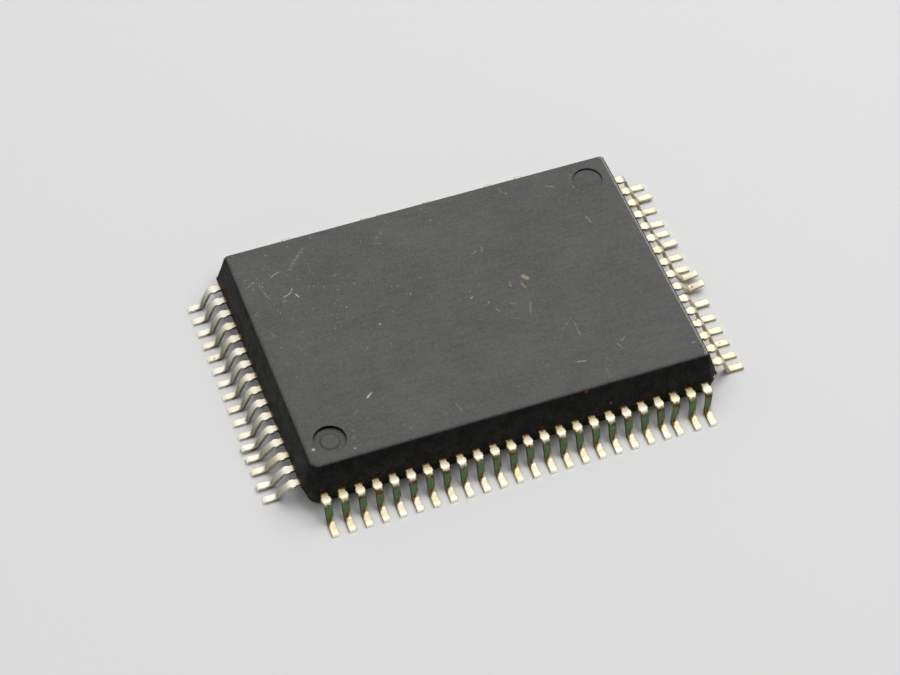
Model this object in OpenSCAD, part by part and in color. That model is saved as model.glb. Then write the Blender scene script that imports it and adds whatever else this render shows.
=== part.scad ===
// Integrated circuit in a plastic quad flat pack with gull-wing leads on four sides.
// Millimetres, +Z up, long side along X, front bank facing -Y.
// The origin lies under the middle of the body, in the plane that the feet stand on.

/* [Body] */
// length of the moulding at the parting plane
body_l = 20; // [18:0.1:24]
// width of the moulding at the parting plane
body_w = 14; // [13:0.1:18]
// clear height under the moulding
standoff = 0.1; // [0.05:0.01:0.3]
// height of the moulding below the parting plane
lower_h = 0.95; // [0.8:0.05:1.4]
// height of the moulding above the parting plane
upper_h = 1.55; // [1.2:0.05:2]
// slope of the walls from upright, above and below the parting plane
draft = 16; // [5:1:22]
// corner cut at the parting plane
corner_cut = 0.4; // [0.2:0.05:0.5]
// corner cut at the top and underside
corner_cut_face = 0.1; // [0.05:0.01:0.2]
// corner cut beside the first lead, at the parting plane
index_cut = 0.55; // [0.4:0.05:0.75]
// corner cut beside the first lead, at the top and underside
index_cut_face = 0.28; // [0.2:0.02:0.4]

/* [Round marks] */
// distance of a mark's centre from the two nearest sides of the parting plane
mark_in = 1.7; // [1.6:0.05:3]
// diameter of the mark beside the first lead
index_mark_d = 1.5; // [1.2:0.05:1.8]
// depth of the mark beside the first lead
index_mark_h = 0.19; // [0.06:0.01:0.25]
// diameter of the button inside that mark
button_d = 0.85; // [0.4:0.05:1]
// height of the button above the floor of the mark
button_h = 0.03; // [0.02:0.01:0.05]
// diameter of the plain ejector marks
ejector_d = 1.4; // [0.8:0.05:1.8]
// depth of the plain ejector marks
ejector_h = 0.1; // [0.04:0.01:0.2]

/* [Leads] */
// leads along each long side, as far as they fit
long_count = 24; // [20:1:24]
// leads along each short side, as far as they fit
short_count = 16; // [12:1:16]
// least distance of an end lead's centre line from the corner of the parting plane
end_room = 0.75; // [0.7:0.05:1.2]
// spacing of the leads
pitch = 0.8; // [0.65:0.01:0.85]
// width of a lead
lead_w = 0.35; // [0.25:0.01:0.42]
// thickness of the lead frame
lead_t = 0.15; // [0.1:0.01:0.2]
// level run of a lead from the moulding to its first bend
shoulder_l = 0.4; // [0.2:0.02:0.6]
// radius of both bends, at mid thickness
bend_r = 0.22; // [0.15:0.01:0.28]
// slope of the leg from upright
leg_slope = 18; // [0:1:25]
// flat length of the feet in the front bank
foot_front = 0.65; // [0.5:0.01:1]
// flat length of the feet in the rear bank
foot_rear = 0.5; // [0.5:0.01:1]
// flat length of the feet in the left bank
foot_left = 0.64; // [0.5:0.01:1]
// flat length of the feet in the right bank
foot_right = 0.66; // [0.5:0.01:1]
// width of a lead over the stubs of the cut dam bar
dam_w = 0.46; // [0.42:0.01:0.55]
// distance of the stubs from the moulding
dam_in = 0.22; // [0.1:0.02:0.24]
// length of the stubs along the lead
dam_l = 0.24; // [0.16:0.02:0.26]
// slant at both ends of the stubs, along the lead
dam_taper = 0.03; // [0.01:0.01:0.06]

/* [Lead frame inside] */
// straight run of a lead into the moulding
root_l = 0.15; // [0.1:0.01:0.25]
// width of an inner lead tip
tip_w = 0.18; // [0.1:0.01:0.22]
// distance of the inner tips from the die pad
tip_gap = 0.3; // [0.2:0.05:0.6]
// distance from the last tip's centre line to the corner of the die pad
tip_in = 0.3; // [0.25:0.05:0.6]
// length of the die pad
pad_l = 9; // [8:0.1:10.5]
// width of the die pad
pad_w = 6.4; // [6:0.1:7.4]
// depth of the die pad below the leads
downset = 0.25; // [0.15:0.01:0.35]
// width of the tie bars that hold the die pad
tie_w = 0.2; // [0.15:0.01:0.34]
// run of a tie bar over which it rises to the leads
tie_ramp = 0.5; // [0.3:0.05:1]
// stub of a tie bar left outside the moulding
tie_stub = 0.02; // [0:0.01:0.12]

/* [Chip and wires] */
// length of the silicon die
die_l = 7; // [5:0.1:7.8]
// width of the silicon die
die_w = 5; // [4:0.1:5.6]
// thickness of the silicon die
die_t = 0.35; // [0.2:0.01:0.5]
// thickness of the adhesive under the die
glue_t = 0.03; // [0.02:0.005:0.06]
// distance of the bonds from the edges of the die
bond_in = 0.12; // [0.08:0.01:0.2]
// distance of the last bond from the corner of the die
bond_corner = 0.3; // [0.2:0.05:0.6]
// diameter of the bond wire
wire_d = 0.03; // [0.02:0.005:0.04]
// diameter of the ball at the die end of a wire
ball_d = 0.08; // [0.06:0.01:0.1]
// height of that ball
ball_h = 0.02; // [0.01:0.005:0.03]
// rise of a wire above the die before it slants down
loop_h = 0.15; // [0.1:0.01:0.3]
// distance of a wire's end from the inner tip of its lead
stitch_in = 0.12; // [0.08:0.01:0.3]

/* [Hidden] */
$fn = 32;
face_eps = 0.2;
lead_z = standoff + lower_h;
top_z = lead_z + upper_h;
lead_top = lead_z + lead_t / 2;
pad_z = lead_z - downset;
glue_z = pad_z + lead_t / 2;
die_z = glue_z + glue_t;
die_top = die_z + die_t;
bend_turn = 90 - leg_slope;
leg_drop = lead_z - lead_t / 2 - 2 * bend_r * (1 - cos(bend_turn));
leg_l = leg_drop / sin(bend_turn);
ring_out = bend_r + lead_t / 2;
ring_in = bend_r - lead_t / 2;
long_n = fitting(long_count, body_l);
short_n = fitting(short_count, body_w);

// leads found bent: place in the bank, degrees the wing is opened, sideways shift of the foot
bent_front = [[21, 0, -0.18], [22, 0, -0.09], [23, 0, -0.14]];
bent_rear = [[4, 6, 0], [6, 5, 0], [10, 5, 0], [13, 4, 0], [14, 5, 0], [19, 6, 0], [23, 0, -0.24]];
bent_left = [[11, 6, -0.03], [12, 4, -0.19], [13, 3, -0.25], [14, 5, -0.17], [15, 1, -0.24]];
bent_right = [[0, 2, 0.05], [5, 4, 0.1], [6, 16, 0.25], [7, 14, 0.15], [10, 6, 0.03], [12, 0, -0.12],
    [14, 6, 0]];

// the row of a list of bent leads for place k, or a straight lead
function bend_of(list, k) = let (hit = [for (row = list) if (row[0] == k) row])
    len(hit) > 0 ? hit[0] : [k, 0, 0];

// sideways place of item k out of n with a given spacing
function along(k, n, step) = (k - (n - 1) / 2) * step;

// spacing of n items over a side that leaves a margin at both ends
function spread(side, margin, n) = (side - 2 * margin) / (n - 1);

// how many of n leads fit along a side
function fitting(n, side) = min(n, 1 + floor((side - 2 * end_room) / pitch + 0.001));

// inset of a wall at a height h away from the parting plane
function inset(h) = h * tan(draft);

// strip of lead along +X
module run(l) {
    translate([0, -lead_t / 2])
        square([l, lead_t]);
}

// bend of a lead, downward for a negative turn, with what follows it
module bend(turn) {
    side = sign(turn);
    translate([0, side * bend_r]) {
        intersection() {
            difference() {
                circle(ring_out);
                circle(ring_in);
            }
            polygon([[0, 0], [0, -2 * side * ring_out],
                [2 * ring_out * sin(abs(turn)), -2 * side * ring_out * cos(turn)]]);
        }
        rotate(turn)
            translate([0, -side * bend_r])
                children();
    }
}

// side view of a gull wing, from inside the moulding to the toe
module wing_profile(open, foot_l) {
    translate([-root_l, 0])
        run(root_l + shoulder_l);
    translate([shoulder_l, 0])
        bend(open - bend_turn) {
            run(leg_l);
            translate([leg_l, 0])
                bend(bend_turn)
                    run(foot_l);
        }
}

// plan of a gull wing with its dam bar stubs, whose foot is shifted sideways by lean
module wing_plan(open, lean, foot_l) {
    half = lead_w / 2;
    leg_x = shoulder_l + bend_r * sin(bend_turn - open);
    heel_x = leg_x + leg_l * cos(bend_turn - open);
    toe_x = heel_x + 2 * bend_r + foot_l;
    dam_end = dam_in + dam_l;
    lean_x = max(leg_x, dam_end);
    stub = [[dam_in, half], [dam_in + dam_taper, dam_w / 2], [dam_end - dam_taper, dam_w / 2],
        [dam_end, half]];
    right = [for (p = stub) [p[0], -p[1]]];
    left = [for (k = [1:len(stub)]) stub[len(stub) - k]];
    polygon(concat([[-root_l, -half]], right, [[lean_x, -half], [heel_x, lean - half], [toe_x, lean - half],
        [toe_x, lean + half], [heel_x, lean + half], [lean_x, half]], left, [[-root_l, half]]));
}

// outer part of a lead, pointing along +X from the side of the moulding
module gull_wing(open, lean, foot_l) {
    reach = 2 * (dam_w + abs(lean));
    intersection() {
        rotate([90, 0, 0])
            linear_extrude(reach, center = true)
                wing_profile(open, foot_l);
        linear_extrude(2 * top_z, center = true)
            wing_plan(open, lean, foot_l);
    }
}

// inner part of a lead, narrowing to a tip that lies aside by shift
module finger(depth, shift) {
    half = lead_w / 2;
    linear_extrude(lead_t, center = true)
        polygon([[0, -half], [0, half], [-root_l, half], [-depth, shift + tip_w / 2],
            [-depth, shift - tip_w / 2], [-root_l, -half]]);
}

// bank of n leads on the side at a distance from the middle that faces +X
module bank(n, side, pad_side, tip_row, foot_l, bent) {
    tip_step = spread(tip_row, tip_in, n);
    depth = side / 2 - pad_side / 2 - tip_gap;
    for (k = [0:n - 1]) {
        row = bend_of(bent, k);
        y = along(k, n, pitch);
        translate([side / 2, y, lead_z]) {
            finger(depth, along(k, n, tip_step) - y);
            gull_wing(row[1], row[2], foot_l);
        }
    }
}

// wires from a row of bonds on the die to the inner tips of one bank, facing +X
module wire_row(n, die_side, die_row, pad_side, tip_row) {
    tip_step = spread(tip_row, tip_in, n);
    bond_step = spread(die_row, bond_corner, n);
    start_x = die_side / 2 - bond_in;
    end_x = pad_side / 2 + tip_gap + stitch_in;
    crown_z = die_top + loop_h;
    difference() {
        for (k = [0:n - 1]) {
            start_y = along(k, n, bond_step);
            span = [end_x - start_x, along(k, n, tip_step) - start_y];
            drop = crown_z - lead_top;
            flat = norm(span);
            translate([start_x, start_y, die_top]) {
                cylinder(h = ball_h, d = ball_d);
                cylinder(h = loop_h + wire_d / 2, d = wire_d);
                translate([0, 0, loop_h])
                    rotate([0, 90 + atan2(drop, flat), atan2(span[1], span[0])])
                        cylinder(h = norm([flat, drop]) + wire_d * flat / drop, d = wire_d);
            }
        }
        translate([pad_side / 2, -tip_row, lead_top - lead_t])
            cube([2 * tip_gap + 2 * stitch_in, 2 * tip_row, lead_t]);
    }
}

// corner of the body cut slantwise, at the corner that faces +X +Y
module corner_wedge(cut, cut_face) {
    far = body_l + body_w;
    mid = (far / 2 - cut) / sqrt(2);
    high = (far / 2 - 2 * inset(upper_h) - cut_face) / sqrt(2);
    low = (far / 2 - 2 * inset(lower_h) - cut_face) / sqrt(2);
    rotate([90, 0, 45])
        linear_extrude(far, center = true)
            polygon([[low, standoff], [far, standoff], [far, top_z], [high, top_z], [mid, lead_z]]);
}

// outline of the body in a side view of length l
module wall_profile(l) {
    high = l / 2 - inset(upper_h);
    low = l / 2 - inset(lower_h);
    polygon([[-low, standoff], [low, standoff], [l / 2, lead_z], [high, top_z], [-high, top_z],
        [-l / 2, lead_z]]);
}

// moulding without its inner pockets
module shell() {
    difference() {
        intersection() {
            rotate([90, 0, 0])
                linear_extrude(body_w, center = true)
                    wall_profile(body_l);
            rotate([90, 0, 90])
                linear_extrude(body_l, center = true)
                    wall_profile(body_w);
        }
        corner_wedge(corner_cut, corner_cut_face);
        mirror([1, 0, 0])
            corner_wedge(corner_cut, corner_cut_face);
        mirror([0, 1, 0])
            corner_wedge(corner_cut, corner_cut_face);
        rotate(180)
            corner_wedge(index_cut, index_cut_face);
    }
}

// round marks that the mould's pins leave on both faces
module marks() {
    mark_x = body_l / 2 - mark_in;
    mark_y = body_w / 2 - mark_in;
    translate([mark_x, mark_y, top_z - ejector_h])
        cylinder(h = ejector_h + face_eps, d = ejector_d);
    translate([-mark_x, -mark_y, top_z - index_mark_h])
        difference() {
            cylinder(h = index_mark_h + face_eps, d = index_mark_d);
            translate([0, 0, -face_eps])
                cylinder(h = face_eps + button_h, d = button_d);
        }
    for (side = [-1, 1])
        translate([side * mark_x, side * mark_y, standoff - face_eps])
            cylinder(h = ejector_h + face_eps, d = ejector_d);
}

// tie bar from the corner of the die pad that faces +X +Y to the corner of the body
module tie_bar(cut) {
    from = [pad_l / 2 - tie_w / 2, pad_w / 2 - tie_w / 2];
    to = [body_l / 2 - cut / 2, body_w / 2 - cut / 2];
    bar_l = norm(to - from) + tie_stub;
    half = lead_t / 2;
    translate([from[0], from[1], pad_z])
        rotate([90, 0, atan2(to[1] - from[1], to[0] - from[0])])
            linear_extrude(tie_w, center = true)
                polygon([[0, -half], [tie_w, -half], [tie_w + tie_ramp, downset - half],
                    [bar_l, downset - half], [bar_l, downset + half],
                    [tie_w + tie_ramp, downset + half], [tie_w, half], [0, half]]);
}

module leads_front() {
    color([0.82, 0.76, 0.58])
        rotate(-90)
            bank(long_n, body_w, pad_w, pad_l, foot_front, bent_front);
}

module leads_rear() {
    color([0.82, 0.76, 0.58])
        rotate(90)
            bank(long_n, body_w, pad_w, pad_l, foot_rear, bent_rear);
}

module leads_left() {
    color([0.82, 0.76, 0.58])
        rotate(180)
            bank(short_n, body_l, pad_l, pad_w, foot_left, bent_left);
}

module leads_right() {
    color([0.82, 0.76, 0.58])
        bank(short_n, body_l, pad_l, pad_w, foot_right, bent_right);
}

module die_pad() {
    color([0.78, 0.6, 0.42]) {
        translate([-pad_l / 2, -pad_w / 2, pad_z - lead_t / 2])
            cube([pad_l, pad_w, lead_t]);
        tie_bar(corner_cut);
        mirror([1, 0, 0])
            tie_bar(corner_cut);
        mirror([0, 1, 0])
            tie_bar(corner_cut);
        rotate(180)
            tie_bar(index_cut);
    }
}

module die_attach() {
    color([0.7, 0.7, 0.68])
        translate([-die_l / 2, -die_w / 2, glue_z])
            cube([die_l, die_w, glue_t]);
}

module silicon_die() {
    color([0.35, 0.38, 0.45])
        translate([-die_l / 2, -die_w / 2, die_z])
            cube([die_l, die_w, die_t]);
}

module wires_front() {
    color([0.95, 0.78, 0.3])
        rotate(-90)
            wire_row(long_n, die_w, die_l, pad_w, pad_l);
}

module wires_rear() {
    color([0.95, 0.78, 0.3])
        rotate(90)
            wire_row(long_n, die_w, die_l, pad_w, pad_l);
}

module wires_left() {
    color([0.95, 0.78, 0.3])
        rotate(180)
            wire_row(short_n, die_l, die_w, pad_l, pad_w);
}

module wires_right() {
    color([0.95, 0.78, 0.3])
        wire_row(short_n, die_l, die_w, pad_l, pad_w);
}

module mould_body() {
    color([0.2, 0.2, 0.2])
        difference() {
            shell();
            marks();
            leads_front();
            leads_rear();
            leads_left();
            leads_right();
            die_pad();
            die_attach();
            silicon_die();
            wires_front();
            wires_rear();
            wires_left();
            wires_right();
        }
}

mould_body();
leads_front();
leads_rear();
leads_left();
leads_right();
die_pad();
die_attach();
silicon_die();
wires_front();
wires_rear();
wires_left();
wires_right();
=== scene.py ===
"""Dresses a quad flat pack: the moulding, four banks of plated gull-wing leads, and the lead frame,
die and bond wires that are sealed inside. All sizes are in millimetres and become metres in the meshes."""

import logging
import math
from dataclasses import dataclass, field
from enum import Enum
from typing import Sequence

import bpy
import numpy as np
from mathutils import Matrix, Vector
from mathutils.geometry import delaunay_2d_cdt


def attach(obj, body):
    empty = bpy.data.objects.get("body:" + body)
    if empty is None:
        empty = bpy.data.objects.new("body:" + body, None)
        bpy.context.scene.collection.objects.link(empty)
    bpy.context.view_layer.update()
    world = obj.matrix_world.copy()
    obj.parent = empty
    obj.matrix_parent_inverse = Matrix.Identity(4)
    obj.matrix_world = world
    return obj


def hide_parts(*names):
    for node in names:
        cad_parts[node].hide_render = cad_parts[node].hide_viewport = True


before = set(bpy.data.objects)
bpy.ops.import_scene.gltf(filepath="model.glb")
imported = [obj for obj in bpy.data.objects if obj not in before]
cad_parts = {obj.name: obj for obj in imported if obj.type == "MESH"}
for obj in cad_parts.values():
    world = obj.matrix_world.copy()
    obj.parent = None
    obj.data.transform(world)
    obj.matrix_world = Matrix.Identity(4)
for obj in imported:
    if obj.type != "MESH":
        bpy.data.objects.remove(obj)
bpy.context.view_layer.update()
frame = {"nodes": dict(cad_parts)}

LOG = logging.getLogger("flat_pack")
MM = 0.001
BODY = "root"
LEAD_MARKS = ("reach", "near", "cut_edge", "toe", "worn", "tint")
DOT = 0.03
SOLID = 0.4

Colour = Place = tuple[float, float, float]
Span = tuple[float, float]
Array = np.ndarray
Piece, Material = bpy.types.Object, bpy.types.Material
Socket = bpy.types.NodeSocket
Feed = Socket | float | Sequence[float]


class Side(Enum):
    """The four banks, each with the turn in degrees that carries +X to its outward direction."""

    FRONT = -90.0
    REAR = 90.0
    LEFT = 180.0
    RIGHT = 0.0

    @property
    def node(self) -> str:
        """Name of the bank's CAD node."""
        return "leads_" + self.name.lower()

    @property
    def turned(self) -> Array:
        """Matrix that turns the bank's own frame into the row frame."""
        c, s = math.cos(math.radians(self.value)), math.sin(math.radians(self.value))
        return np.array([[c, -s, 0.0], [s, c, 0.0], [0.0, 0.0, 1.0]])


class Skin:
    """Gathers the patches of one piece and puts them into a mesh."""

    def __init__(self) -> None:
        """Starts with no points and no faces."""
        self.points: list[Array] = []
        self.faces: list[list[int]] = []
        self.count = 0

    def add(self, points: Array) -> Array:
        """Adds points of any grid shape.

        Args:
            points: array whose last axis holds x, y and z in millimetres.

        Returns:
            Array of the points' numbers, with the grid's shape.
        """
        flat = np.asarray(points, float).reshape(-1, 3)
        numbers = np.arange(self.count, self.count + len(flat)).reshape(np.shape(points)[:-1])
        self.points.append(flat)
        self.count += len(flat)
        return numbers

    def wrap(self, rings: Array) -> None:
        """Covers a stack of closed rings with quads, facing out where the rings run anticlockwise upwards.

        Args:
            rings: point numbers, one ring per row.
        """
        low, high = rings[:-1], rings[1:]
        quads = np.stack([low, np.roll(low, -1, 1), np.roll(high, -1, 1), high], -1)
        self.faces += quads.reshape(-1, 4).tolist()

    def cap(self, ring: Array, flip: bool) -> None:
        """Closes a ring with one flat face, turned over if flip is set."""
        self.faces.append((ring[::-1] if flip else ring).tolist())

    def fan(self, ring: Array, hub: int, flip: bool) -> None:
        """Closes a ring with triangles to a middle point, turned over if flip is set."""
        tris = np.stack([ring, np.roll(ring, -1), np.full_like(ring, hub)], -1)
        self.faces += (tris[:, ::-1] if flip else tris).tolist()

    def plate(self, rim: Array, holes: Sequence[Array], flip: bool,
              bands: Sequence[Array] = (), lines: Sequence[Array] = ()) -> None:
        """Fills the flat region between a rim and round holes with a constrained triangulation.

        Args:
            rim: numbers of the outer ring's points, anticlockwise from above.
            holes: numbers of the points of each hole's ring.
            flip: true for a face that looks down.
            bands: numbers of the points of closed rings that the triangles keep to.
            lines: numbers of the points of open lines that they keep to.
        """
        stock = np.concatenate(self.points)
        rings = [rim, *holes, *bands]
        numbers = np.concatenate([*rings, *lines])
        plan = stock[numbers, :2]
        starts = np.cumsum([0] + [len(r) for r in (*rings, *lines)])
        spans = [np.arange(a, b) for a, b in zip(starts[:-1], starts[1:])]
        edges = np.concatenate([np.stack([span, np.roll(span, -1)], -1) for span in spans[:len(rings)]]
                               + [np.stack([span[:-1], span[1:]], -1) for span in spans[len(rings):]])
        inside, tolerance = 1, 1e-7
        found = delaunay_2d_cdt([Vector(p) for p in plan], edges.tolist(), [], inside, tolerance)
        source = np.array([row[0] for row in found[3]])
        tris = source[np.array(found[2])]
        middle = plan[tris].mean(1)
        keep = np.ones(len(tris), bool)
        for hole in holes:
            centre = stock[hole, :2].mean(0)
            radius = np.linalg.norm(stock[hole, :2] - centre, axis=1).min()
            keep &= np.linalg.norm(middle - centre, axis=1) > radius * 0.99
        tris = numbers[tris[keep]]
        self.faces += (tris[:, ::-1] if flip else tris).tolist()

    def piece(self, name: str, marks: dict[str, Array] | None = None) -> Piece:
        """Makes the object, smooth-shaded, at the origin.

        Args:
            name: name of the piece.
            marks: values for each point, kept as float attributes for the finish.

        Returns:
            The new object.
        """
        mesh = bpy.data.meshes.new(name)
        mesh.from_pydata((np.concatenate(self.points) * MM).tolist(), [], self.faces)
        for label, values in (marks or {}).items():
            layer = mesh.attributes.new(label, "FLOAT", "POINT")
            layer.data.foreach_set("value", np.ravel(values).astype(np.float32))
        mesh.polygons.foreach_set("use_smooth", np.ones(len(mesh.polygons), bool))
        mesh.update()
        made = bpy.data.objects.new(name, mesh)
        bpy.context.scene.collection.objects.link(made)
        LOG.info("built %s: %d points, %d faces", name, len(mesh.vertices), len(mesh.polygons))
        return made


def rounded(before: Array, corner: Array, after: Array, radius: Array, steps: int,
            margin: float) -> Array:
    """Rounds corners with arcs that touch both legs.

    The arc's centre lies on the bisector at radius over the sine of half the angle. Its points are the
    centre plus radius times a direction that swings evenly from the first touching point to the second.
    One point is added on each leg, a margin beyond the arc, so that the flats shade flat.

    Args:
        before: points that the corners are reached from, last axis x and y.
        corner: the corners.
        after: points that the corners are left towards.
        radius: radius at each corner.
        steps: points on each arc.
        margin: distance of the added points from the arc.

    Returns:
        Array with one more axis than the corners, which holds the points of each arc in order.
    """
    to_before = (before - corner) / np.linalg.norm(before - corner, axis=-1, keepdims=True)
    to_after = (after - corner) / np.linalg.norm(after - corner, axis=-1, keepdims=True)
    half = np.arccos(np.clip((to_before * to_after).sum(-1), -1, 1))[..., None] / 2
    radius = np.broadcast_to(radius, corner.shape[:-1])[..., None]
    reach = radius / np.tan(half)
    bisector = to_before + to_after
    bisector /= np.linalg.norm(bisector, axis=-1, keepdims=True)
    centre = corner + bisector * radius / np.sin(half)
    first = (corner + to_before * reach - centre)[..., None, :]
    last = (corner + to_after * reach - centre)[..., None, :]
    swing = (math.pi - 2 * half)[..., None, :]
    t = np.linspace(0, 1, steps)[:, None]
    arc = centre[..., None, :] + (np.sin((1 - t) * swing) * first + np.sin(t * swing) * last) / np.sin(swing)
    lead_in = (corner + to_before * (reach + margin))[..., None, :]
    lead_out = (corner + to_after * (reach + margin))[..., None, :]
    return np.concatenate([lead_in, arc, lead_out], -2)


def running(steps: Array) -> Array:
    """Running sum along each row, with a 0 in front."""
    return np.pad(np.cumsum(steps, 1), ((0, 0), (1, 0)))


class NodeBench:
    """Adds shader nodes to one tree and wires them."""

    def __init__(self, tree: bpy.types.NodeTree) -> None:
        """Takes the tree of a material or a world."""
        self.tree = tree

    def add(self, kind: str, inputs: dict[str | int, Feed] | None = None,
            **settings: object) -> bpy.types.Node:
        """Adds a node of a kind, sets its own properties and feeds its inputs."""
        made = self.tree.nodes.new(kind)
        for key, value in settings.items():
            setattr(made, key, value)
        for key, value in (inputs or {}).items():
            self.feed(made.inputs[key], value)
        return made

    def feed(self, target: Socket, value: Feed) -> None:
        """Links a socket to another one, or sets its value."""
        if isinstance(value, Socket):
            self.tree.links.new(value, target)
        elif target.type == "RGBA":
            target.default_value = (*value, 1.0)
        else:
            target.default_value = value

    def millimetres(self) -> Socket:
        """Object coordinates of the piece, in millimetres."""
        return self.vector("MULTIPLY", self.add("ShaderNodeTexCoord").outputs["Object"], [1 / MM] * 3)

    def shown(self) -> Feed:
        """1 for rays that show the background, to the eye, in metal or through glass, and 0 for the rest."""
        rays = self.add("ShaderNodeLightPath").outputs
        kinds = ("Camera", "Glossy", "Transmission")
        return self.chain("MAXIMUM", *(rays[f"Is {kind} Ray"] for kind in kinds))

    def vector(self, operation: str, a: Feed, b: Feed = (0.0, 0.0, 0.0)) -> Socket:
        """Result of a vector product, length or distance."""
        made = self.add("ShaderNodeVectorMath", {0: a, 1: b}, operation=operation)
        return made.outputs["Value" if operation in ("LENGTH", "DISTANCE") else "Vector"]

    def maths(self, operation: str, a: Feed, b: Feed = 0.0, c: Feed = 0.0) -> Socket:
        """Result of an operation on up to three numbers."""
        return self.add("ShaderNodeMath", {0: a, 1: b, 2: c}, operation=operation).outputs[0]

    def chain(self, operation: str, first: Feed, *rest: Feed) -> Feed:
        """Result of one operation on several numbers, taken one after another."""
        for value in rest:
            first = self.maths(operation, first, value)
        return first

    def times(self, *factors: Feed) -> Feed:
        """Product of several numbers."""
        return self.chain("MULTIPLY", *factors)

    def parts(self, point: Feed) -> tuple[Socket, ...]:
        """The x, y and z of a vector."""
        return tuple(self.add("ShaderNodeSeparateXYZ", {0: point}).outputs)

    def stretch(self, value: Feed, low: float, high: float, to_low: float = 0.0,
                to_high: float = 1.0) -> Socket:
        """Maps a number from one range to another along a smooth step, held at both ends."""
        inputs = {"Value": value, "From Min": low, "From Max": high, "To Min": to_low, "To Max": to_high}
        return self.add("ShaderNodeMapRange", inputs, interpolation_type="SMOOTHSTEP").outputs["Result"]

    def window(self, value: Feed, rise: Span, fall: Span) -> Feed:
        """Mask that climbs from 0 to 1 over one range of a number and falls back over a later one."""
        return self.times(self.stretch(value, *rise), self.stretch(value, *fall[::-1]))

    def noise(self, point: Feed, scale: float, detail: float = 3.0, rough: float = 0.55) -> Socket:
        """Noise between 0 and 1, with scale as its waves per millimetre."""
        inputs = {"Vector": point, "Scale": scale, "Detail": detail, "Roughness": rough}
        return self.add("ShaderNodeTexNoise", inputs).outputs["Fac"]

    def turned(self, point: Feed, degrees: float, scale: Sequence[float] = (1.0, 1.0, 1.0)) -> Socket:
        """Point turned about Z and then stretched along its axes."""
        inputs = {"Vector": point, "Rotation": (0.0, 0.0, math.radians(degrees)), "Scale": scale}
        return self.add("ShaderNodeMapping", inputs).outputs["Vector"]

    def specks(self, point: Feed, per_mm: float, radius: float, share: float) -> Feed:
        """Mask of small round specks in some of the cells of a Voronoi pattern.

        Args:
            point: where the pattern is read.
            per_mm: cells per millimetre.
            radius: radius of a speck in millimetres.
            share: share of the cells that hold one.

        Returns:
            Mask that is 1 inside a speck.
        """
        cells = self.add("ShaderNodeTexVoronoi", {"Vector": point, "Scale": per_mm}).outputs
        near = self.stretch(cells["Distance"], radius * per_mm, SOLID * radius * per_mm)
        drawn = self.add("ShaderNodeSeparateColor", {"Color": cells["Color"]}).outputs
        return self.times(near, self.maths("LESS_THAN", drawn["Red"], share), drawn["Green"])

    def blend(self, share: Feed, a: Feed, b: Feed) -> Socket:
        """Colour that goes from a to b as share goes from 0 to 1."""
        return self.add("ShaderNodeMix", {0: share, 6: a, 7: b}, data_type="RGBA").outputs[2]

    def coats(self, colour: Feed, *layers: tuple[Feed, Feed]) -> Feed:
        """Colour with others laid over it, one after another, each as far as its own mask says."""
        for share, coat in layers:
            colour = self.blend(share, colour, coat)
        return colour

    def mingle(self, share: Feed, a: Socket, b: Socket) -> Socket:
        """Shader that goes from a to b as share goes from 0 to 1."""
        return self.add("ShaderNodeMixShader", {0: share, 1: a, 2: b}).outputs[0]

    def attribute(self, label: str) -> Socket:
        """A float attribute of the piece's points."""
        return self.add("ShaderNodeAttribute", attribute_name=label).outputs["Fac"]

    def relief(self, height: Feed, depth_mm: float, strength: float, over: Socket | None = None) -> Socket:
        """Bumped normal from a height between 0 and 1, whose full step is depth_mm."""
        inputs = {"Strength": strength, "Distance": depth_mm * MM, "Height": height}
        if over is not None:
            inputs["Normal"] = over
        return self.add("ShaderNodeBump", inputs).outputs["Normal"]


class MaterialBench(NodeBench):
    """Starts a material with its output and a principled shader."""

    def __init__(self, name: str) -> None:
        """Makes the material, with nothing but these two nodes."""
        self.material = bpy.data.materials.new(name)
        self.material.use_nodes = True
        super().__init__(self.material.node_tree)
        self.tree.nodes.clear()
        self.shader = self.add("ShaderNodeBsdfPrincipled")
        self.out = self.add("ShaderNodeOutputMaterial", {"Surface": self.shader.outputs["BSDF"]})

    def dress(self, **sockets: Feed) -> Material:
        """Feeds the shader's sockets, named with underscores, and gives back the material."""
        for key, value in sockets.items():
            self.feed(self.shader.inputs[key.replace("_", " ")], value)
        return self.material


@dataclass(frozen=True)
class Scuff:
    """One scratch, smear or crumb on the top face: the points that it runs through, width and strength."""

    points: tuple[Span, ...]
    width: float
    tone: float

    def outline(self) -> Array:
        """Closed band round the line, half a width to both sides of it and past both of its ends.

        Returns:
            Rows of x and y, anticlockwise.
        """
        line = np.array(self.points)
        along = np.gradient(line, axis=0)
        along *= self.width / 2 / np.linalg.norm(along, axis=1, keepdims=True)
        side = np.stack([-along[:, 1], along[:, 0]], -1)
        start, end = line[:1] - along[:1], line[-1:] + along[-1:]
        return np.concatenate([start, line - side, end, (line + side)[::-1]])


@dataclass(frozen=True)
class Spot:
    """One stray speck: its middle, radius and colour."""

    place: Place
    radius: float
    colour: Colour

    def coat(self, bench: NodeBench, point: Socket) -> tuple[Feed, Colour]:
        """Coat of colour that is strongest in the speck's middle.

        Args:
            bench: material under way.
            point: place on the piece in millimetres.

        Returns:
            Mask and colour of the speck.
        """
        away = bench.vector("DISTANCE", point, self.place)
        return bench.stretch(away, self.radius, SOLID * self.radius), self.colour


def scuffs(*rows: tuple[float, ...]) -> tuple[Scuff, ...]:
    """Scuffs from plain rows: width, tone, then x and y of each point. A single point makes a dot."""
    lines = [tuple(zip(row[2::2], row[3::2])) for row in rows]
    lines = [line if len(line) > 1 else (*line, (line[0][0] + DOT, line[0][1])) for line in lines]
    return tuple(Scuff(line, *row[:2]) for line, row in zip(lines, rows))


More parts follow.
